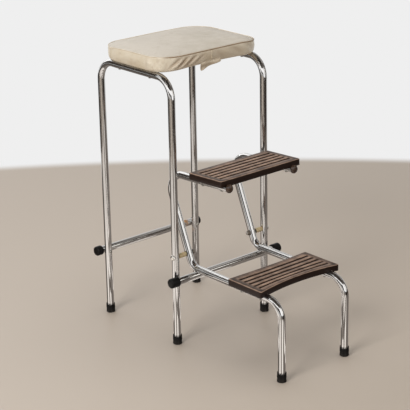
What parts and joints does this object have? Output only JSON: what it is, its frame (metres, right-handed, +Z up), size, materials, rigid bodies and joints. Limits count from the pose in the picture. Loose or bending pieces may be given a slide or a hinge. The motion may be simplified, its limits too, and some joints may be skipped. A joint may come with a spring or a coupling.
{
  "type": "folding step stool chair",
  "caption": "Folding step stool chair: bent-tube frame with a padded vinyl seat and a swing-out step unit with ribbed treads.",
  "frame": {"origin": "on the floor, under the middle of the stool's overall length and width with the steps swung out", "axes": "+Z up, -Y the front where the steps come out, +X to the right seen from the front"},
  "size_m": [0.376, 0.6662, 0.7578],
  "materials": {
    "chrome_tube": "bright plated, lightly worn",
    "black_rubber": "matte, dusty",
    "zinc_steel": "dull zinc",
    "dark_fixings": "blackened",
    "plywood": "raw",
    "cream_vinyl": "satin, creased",
    "cream_sleeve": "satin, yellowed",
    "brown_plastic": "satin, scuffed"
  },
  "bodies": {
    "frame": {"left_side_frame": "chrome_tube", "right_side_frame": "chrome_tube", "front_cross_rail": "chrome_tube", "rear_cross_rail": "chrome_tube", "front_rail_cap_left": "black_rubber", "front_ferrule_left": "black_rubber", "front_rail_cap_right": "black_rubber", "front_ferrule_right": "black_rubber", "rear_rail_cap_left": "black_rubber", "rear_ferrule_left": "black_rubber", "rear_rail_cap_right": "black_rubber", "rear_ferrule_right": "black_rubber", "rail_screws": "zinc_steel", "rail_nuts": "zinc_steel", "seat_board": "plywood", "seat_cushion": "cream_vinyl", "seat_screws": "zinc_steel", "pivot_bolt_left": "zinc_steel", "pivot_spacer_left": "cream_sleeve", "pivot_washers_left": "dark_fixings", "pivot_nut_left": "dark_fixings", "pivot_bolt_right": "zinc_steel", "pivot_spacer_right": "cream_sleeve", "pivot_washers_right": "dark_fixings", "pivot_nut_right": "dark_fixings"},
    "step_unit": {"step_tube_left": "chrome_tube", "step_tube_cap_left": "brown_plastic", "step_ferrule_left": "black_rubber", "step_tube_right": "chrome_tube", "step_tube_cap_right": "brown_plastic", "step_ferrule_right": "black_rubber", "upper_tread": "brown_plastic", "lower_tread": "brown_plastic", "upper_tread_screws": "zinc_steel", "lower_tread_screws": "zinc_steel"}
  },
  "joints": [
    {"name": "step_unit_fold", "type": "hinge", "parent": "frame", "child": "step_unit", "pos_m": [0, 0.02032, 0.238], "axis": [-1, 0, 0], "range_deg": [0, 157]}
  ]
}
